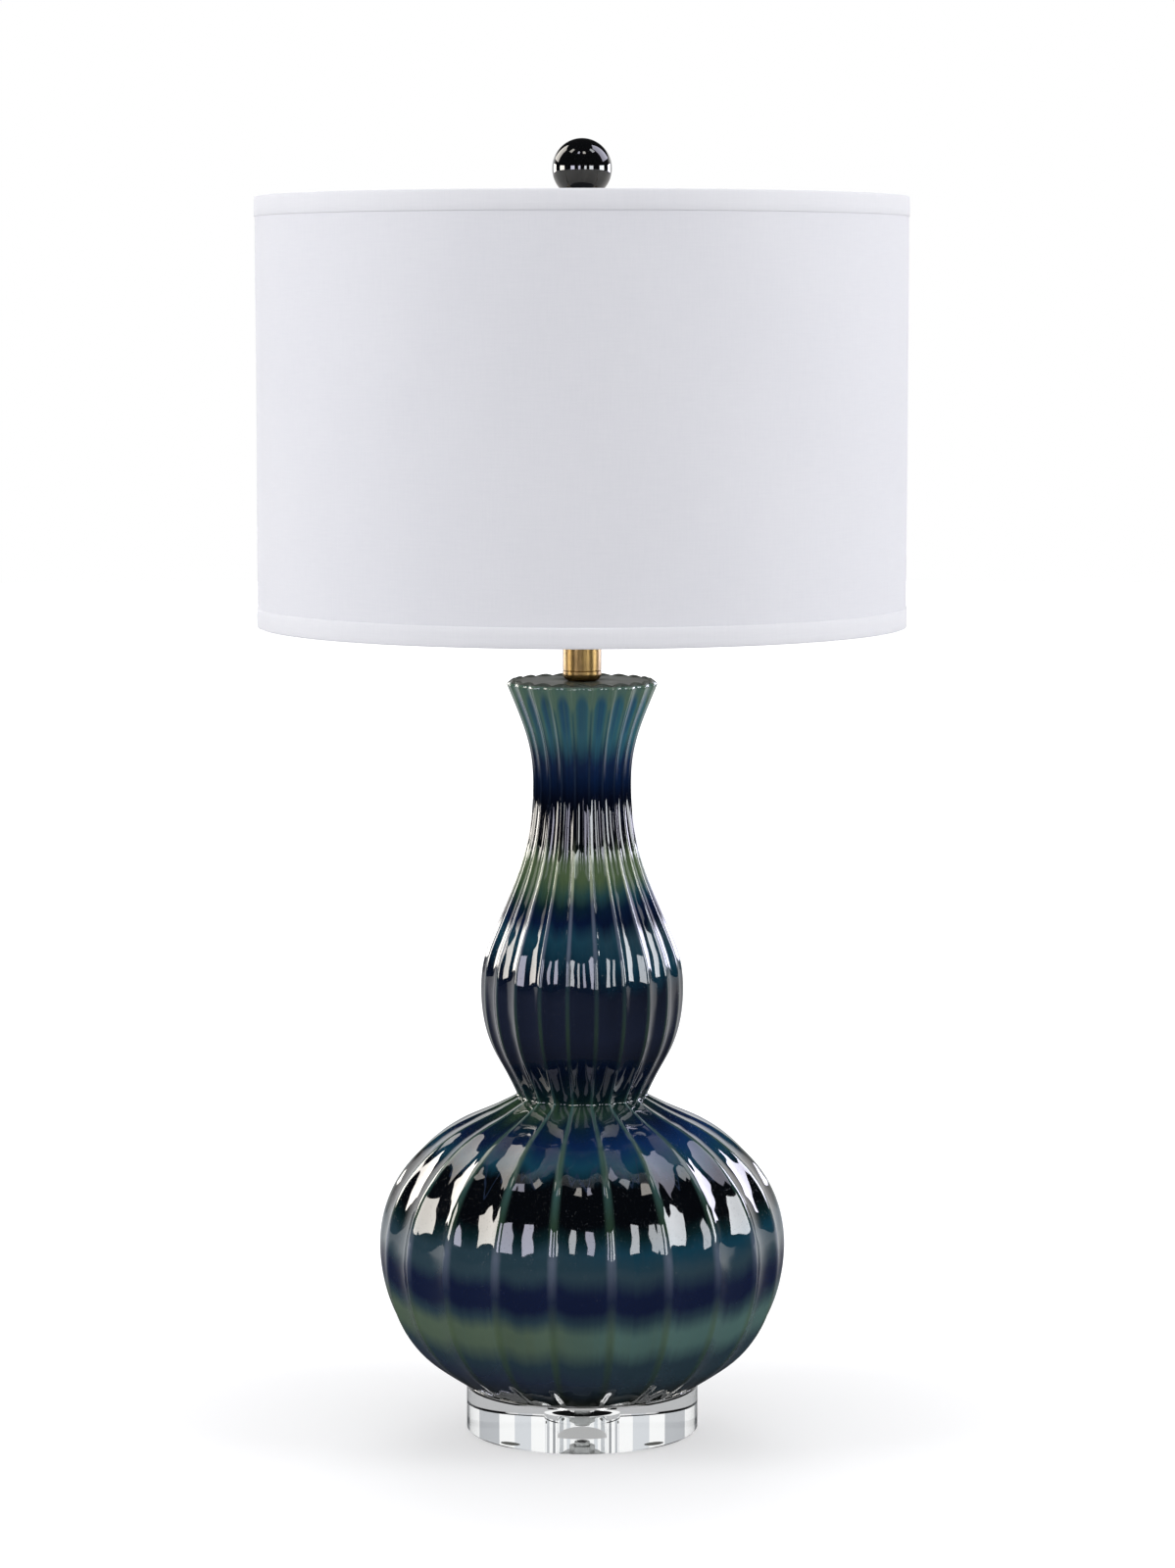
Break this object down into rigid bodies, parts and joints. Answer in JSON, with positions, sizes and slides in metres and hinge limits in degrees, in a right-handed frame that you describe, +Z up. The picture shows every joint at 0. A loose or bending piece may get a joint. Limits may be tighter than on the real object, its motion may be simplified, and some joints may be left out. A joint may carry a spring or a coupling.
{
  "type": "table lamp",
  "caption": "Table lamp with a fluted double gourd ceramic body on a clear disc base, a harp, a drum shade and a ball finial.",
  "frame": {"origin": "centre of the underside, on the surface that the lamp's feet stand on", "axes": "+Z up along the lamp's axis; front towards -Y, where the switch knob points; +X to the right of someone facing the front"},
  "size_m": [0.4065, 0.4066, 0.817],
  "materials": {
    "clear_acrylic": "clear, polished",
    "clear_rubber": "soft, translucent",
    "white_foam": "thin closed-cell sheet",
    "glaze": "high gloss banded glaze, blue, green and near black",
    "brass": "satin, lacquered",
    "zinc_steel": "zinc plated",
    "black_plastic": "moulded",
    "phenolic": "moulded",
    "insulating_paper": "pressed paper tube",
    "aluminium_cap": "thin pressed sheet",
    "bulb_plastic": "moulded",
    "opal": "opal diffuser",
    "board": "white coated board",
    "harp_brass": "satin plated",
    "shade_wire": "brass-washed wire",
    "styrene": "thin translucent sheet",
    "linen": "fine plain weave, off white",
    "hem_tape": "folded tape of the cover's cloth",
    "black_gloss": "high gloss",
    "black_nickel": "satin"
  },
  "bodies": {
    "root": {"base_bumpers": "clear_rubber", "clear_base": "clear_acrylic", "foot_gasket": "white_foam", "base_washer": "zinc_steel", "base_nut": "zinc_steel", "lamp_pipe": "zinc_steel", "gourd_lower": "glaze", "gourd_upper": "glaze", "gourd_neck": "glaze", "cord_bushing": "black_plastic", "neck_collar": "brass", "neck_tube": "brass", "neck_cap_ring": "brass", "harp_saddle": "harp_brass", "saddle_nut": "zinc_steel", "socket_cap": "brass", "cap_screw": "zinc_steel", "socket_shell": "brass", "socket_liner": "insulating_paper", "switch_block": "phenolic", "terminal_screws": "brass", "screw_shell": "aluminium_cap", "centre_contact": "brass"},
    "switch": {"switch_shaft": "zinc_steel", "switch_knob": "black_plastic"},
    "bulb": {"bulb_tip": "phenolic", "bulb_cap": "aluminium_cap", "bulb_housing": "bulb_plastic", "led_board": "board", "bulb_diffuser": "opal"},
    "harp": {"harp_wire": "harp_brass", "harp_stud": "harp_brass"},
    "left_ferrule": {"ferrule_left": "harp_brass"},
    "right_ferrule": {"ferrule_right": "harp_brass"},
    "shade": {"shade_spider": "shade_wire", "shade_top_ring": "shade_wire", "shade_bottom_ring": "shade_wire", "shade_liner": "styrene", "shade_fabric": "linen", "shade_top_tape": "hem_tape", "shade_bottom_tape": "hem_tape"},
    "finial": {"finial_neck": "black_nickel", "finial_ball": "black_gloss"}
  },
  "joints": [
    {"name": "switch_turn", "type": "hinge", "parent": "root", "child": "switch", "pos_m": [0, -0.02, 0.5458], "axis": [0, -1, 0], "continuous": true},
    {"name": "bulb_turn", "type": "hinge", "parent": "root", "child": "bulb", "pos_m": [0, 0, 0.57], "axis": [0, 0, 1], "continuous": true},
    {"name": "harp_lift", "type": "slide", "parent": "root", "child": "harp", "axis": [0, 0, 1], "range_m": [0, 0.025]},
    {"name": "left_ferrule_lift", "type": "slide", "parent": "harp", "child": "left_ferrule", "axis": [0, 0, 1], "range_m": [0, 0.015]},
    {"name": "right_ferrule_lift", "type": "slide", "parent": "harp", "child": "right_ferrule", "axis": [0, 0, 1], "range_m": [0, 0.015]},
    {"name": "shade_turn", "type": "hinge", "parent": "harp", "child": "shade", "pos_m": [0, 0, 0.768], "axis": [0, 0, 1], "continuous": true},
    {"name": "finial_turn", "type": "hinge", "parent": "harp", "child": "finial", "pos_m": [0, 0, 0.775], "axis": [0, 0, 1], "continuous": true}
  ]
}
